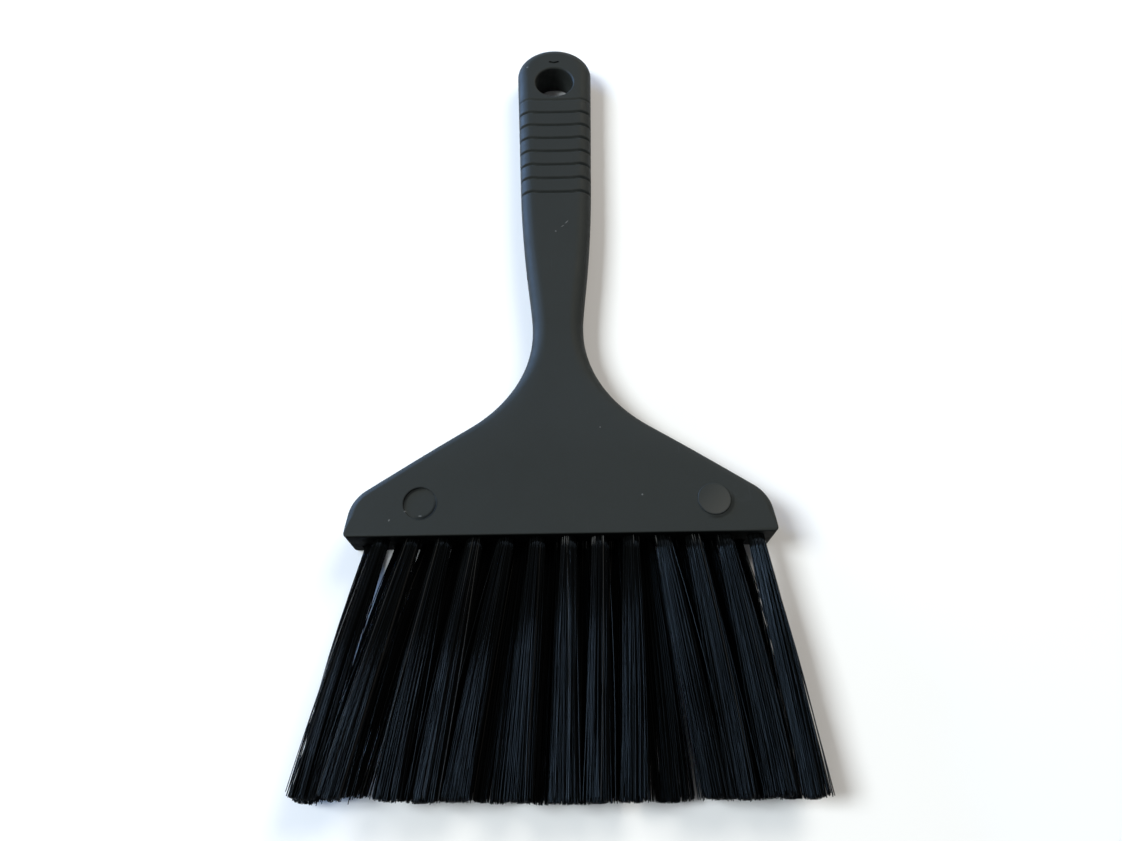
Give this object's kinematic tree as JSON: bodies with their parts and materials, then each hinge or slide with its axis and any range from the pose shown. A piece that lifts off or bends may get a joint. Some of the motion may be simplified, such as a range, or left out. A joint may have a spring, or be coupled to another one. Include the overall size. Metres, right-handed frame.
{
  "type": "boiler cleaning brush",
  "caption": "Flat hand brush for cleaning boilers: a moulded grip with finger grooves and a hanging hole, a wide flat head, and a fan of long stiff black bristles in staggered tufts.",
  "frame": {"origin": "middle of the brush's length and width, on the plane of its flat back, which it lies on", "axes": "+X across the head, to the right when the front face is seen with the grip up; +Y from the bristle tips towards the end of the grip; +Z out of the front face, up as it lies"},
  "size_m": [0.1626, 0.3026, 0.0164],
  "materials": {
    "body_plastic": "fine-grained matt charcoal moulding with light scuffs",
    "bristle_fibre": "smooth drawn black filament with a cool sheen",
    "anchor_wire": "bright flattened wire with sheared ends"
  },
  "bodies": {
    "root": {"brush_body": "body_plastic", "front_bristles_left": "bristle_fibre", "front_bristles_right": "bristle_fibre", "back_bristles_left": "bristle_fibre", "back_bristles_right": "bristle_fibre", "front_anchor_01": "anchor_wire", "front_anchor_02": "anchor_wire", "front_anchor_03": "anchor_wire", "front_anchor_04": "anchor_wire", "front_anchor_05": "anchor_wire", "front_anchor_06": "anchor_wire", "front_anchor_07": "anchor_wire", "front_anchor_08": "anchor_wire", "front_anchor_09": "anchor_wire", "front_anchor_10": "anchor_wire", "front_anchor_11": "anchor_wire", "front_anchor_12": "anchor_wire", "front_anchor_13": "anchor_wire", "back_anchor_01": "anchor_wire", "back_anchor_02": "anchor_wire", "back_anchor_03": "anchor_wire", "back_anchor_04": "anchor_wire", "back_anchor_05": "anchor_wire", "back_anchor_06": "anchor_wire", "back_anchor_07": "anchor_wire", "back_anchor_08": "anchor_wire", "back_anchor_09": "anchor_wire", "back_anchor_10": "anchor_wire", "back_anchor_11": "anchor_wire", "back_anchor_12": "anchor_wire", "back_anchor_13": "anchor_wire"}
  },
  "joints": []
}
